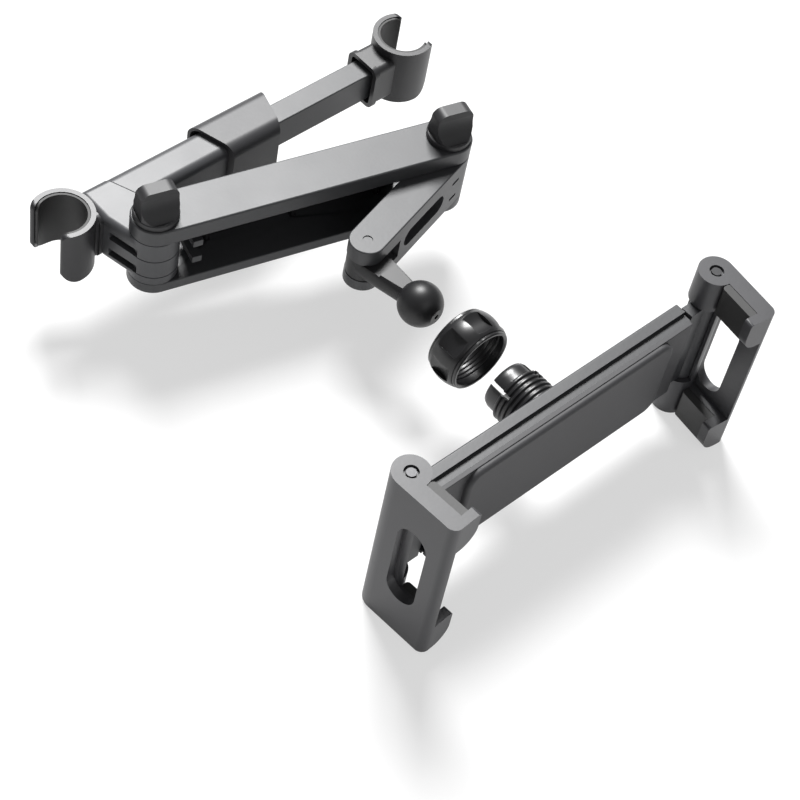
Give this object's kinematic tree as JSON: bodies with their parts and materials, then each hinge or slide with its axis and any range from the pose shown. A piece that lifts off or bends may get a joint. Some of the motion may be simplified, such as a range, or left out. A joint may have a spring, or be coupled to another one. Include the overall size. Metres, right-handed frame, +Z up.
{
  "type": "headrest tablet mount",
  "caption": "Sprung crossbar gripping headrest posts, folding arms with wing knobs, ball joint and a sprung tablet holder with swinging jaws.",
  "frame": {"origin": "on the left hook's axis, at the mid height of the crossbar", "axes": "+X along the crossbar to the right hook, -Y from the seat to the passenger, +Z up"},
  "size_m": [0.176, 0.203, 0.0736],
  "materials": {
    "matte_plastic": "fine moulded texture",
    "satin_plastic": "smooth satin",
    "soft_rubber": "soft matt",
    "plated_steel": "zinc plated"
  },
  "bodies": {
    "crossbar": {"left_hook": "matte_plastic", "left_hook_liner": "soft_rubber", "hinge_block": "matte_plastic", "outer_tube": "matte_plastic", "bar_collar": "matte_plastic", "bar_spring": "plated_steel"},
    "sliding_hook": {"inner_tube": "matte_plastic", "right_hook": "matte_plastic", "right_hook_liner": "soft_rubber"},
    "long_arm": {"long_arm_top": "matte_plastic", "long_arm_bottom": "matte_plastic", "arm_screws": "plated_steel", "left_pivot_nut": "plated_steel", "right_pivot_nut": "plated_steel"},
    "left_wing": {"left_knob": "matte_plastic", "left_pivot_bolt": "plated_steel"},
    "right_wing": {"right_knob": "matte_plastic", "right_pivot_bolt": "plated_steel"},
    "forearm": {"short_arm": "matte_plastic", "link_pin": "plated_steel"},
    "ball_stud": {"ball_link": "satin_plastic"},
    "seat": {"ball_seat": "soft_rubber"},
    "socket": {"socket_collet": "satin_plastic", "collet_screw": "plated_steel"},
    "nut": {"ring_nut": "satin_plastic"},
    "holder": {"rail_shell": "matte_plastic", "front_cover": "matte_plastic", "cover_screws": "plated_steel", "left_slider_spring": "plated_steel", "right_slider_spring": "plated_steel"},
    "left_slide_body": {"left_slider": "matte_plastic", "left_foot_pin": "plated_steel"},
    "right_slide_body": {"right_slider": "matte_plastic", "right_foot_pin": "plated_steel"},
    "left_foot_body": {"left_foot": "matte_plastic", "left_upper_jaw_pad": "soft_rubber", "left_lower_jaw_pad": "soft_rubber"},
    "right_foot_body": {"right_foot": "matte_plastic", "right_upper_jaw_pad": "soft_rubber", "right_lower_jaw_pad": "soft_rubber"}
  },
  "joints": [
    {"name": "bar_extend", "type": "slide", "parent": "crossbar", "child": "sliding_hook", "axis": [1, 0, 0], "range_m": [-0.022, 0.008], "stiffness_N_per_m": 200, "springref_m": 0.008, "deforming": ["bar_spring"]},
    {"name": "arm_swing", "type": "hinge", "parent": "crossbar", "child": "long_arm", "pos_m": [0.0241, -0.0217, 0], "axis": [0, 0, 1], "range_deg": [-100, 14]},
    {"name": "left_knob_turn", "type": "hinge", "parent": "long_arm", "child": "left_wing", "pos_m": [0.0241, -0.0217, 0], "axis": [0, 0, 1], "continuous": true},
    {"name": "right_knob_turn", "type": "hinge", "parent": "long_arm", "child": "right_wing", "pos_m": [0.13647, -0.05244, 0], "axis": [0, 0, 1], "continuous": true},
    {"name": "forearm_swing", "type": "hinge", "parent": "long_arm", "child": "forearm", "pos_m": [0.13647, -0.05244, 0], "axis": [0, 0, 1], "range_deg": [-28, 150]},
    {"name": "ball_link_swing", "type": "hinge", "parent": "forearm", "child": "ball_stud", "pos_m": [0.08283, -0.06937, 0], "axis": [0, 0, -1], "range_deg": [-40, 40]},
    {"name": "ball_pitch", "type": "hinge", "parent": "ball_stud", "child": "seat", "pos_m": [0.0851, -0.1483, 0], "axis": [1, 0, 0], "range_deg": [-20, 20]},
    {"name": "ball_yaw", "type": "hinge", "parent": "seat", "child": "socket", "pos_m": [0.0851, -0.1483, 0], "axis": [0, 0, 1], "range_deg": [-20, 20]},
    {"name": "nut_turn", "type": "hinge", "parent": "socket", "child": "nut", "pos_m": [0.0851, -0.1483, 0], "axis": [0, 1, 0], "continuous": true},
    {"name": "ball_roll", "type": "hinge", "parent": "socket", "child": "holder", "pos_m": [0.0851, -0.1483, 0], "axis": [0, 1, 0], "continuous": true},
    {"name": "left_slide", "type": "slide", "parent": "holder", "child": "left_slide_body", "axis": [-1, 0, 0], "range_m": [0, 0.033], "stiffness_N_per_m": 120, "springref_m": -0.02, "deforming": ["left_slider_spring"]},
    {"name": "right_slide", "type": "slide", "parent": "holder", "child": "right_slide_body", "axis": [1, 0, 0], "range_m": [0, 0.033], "stiffness_N_per_m": 120, "springref_m": -0.02, "deforming": ["right_slider_spring"]},
    {"name": "left_foot_swing", "type": "hinge", "parent": "left_slide_body", "child": "left_foot_body", "pos_m": [0.01286, -0.1654, 0], "axis": [0, 0, -1], "range_deg": [-8, 15]},
    {"name": "right_foot_swing", "type": "hinge", "parent": "right_slide_body", "child": "right_foot_body", "pos_m": [0.15734, -0.1654, 0], "axis": [0, 0, 1], "range_deg": [-6, 18]}
  ]
}
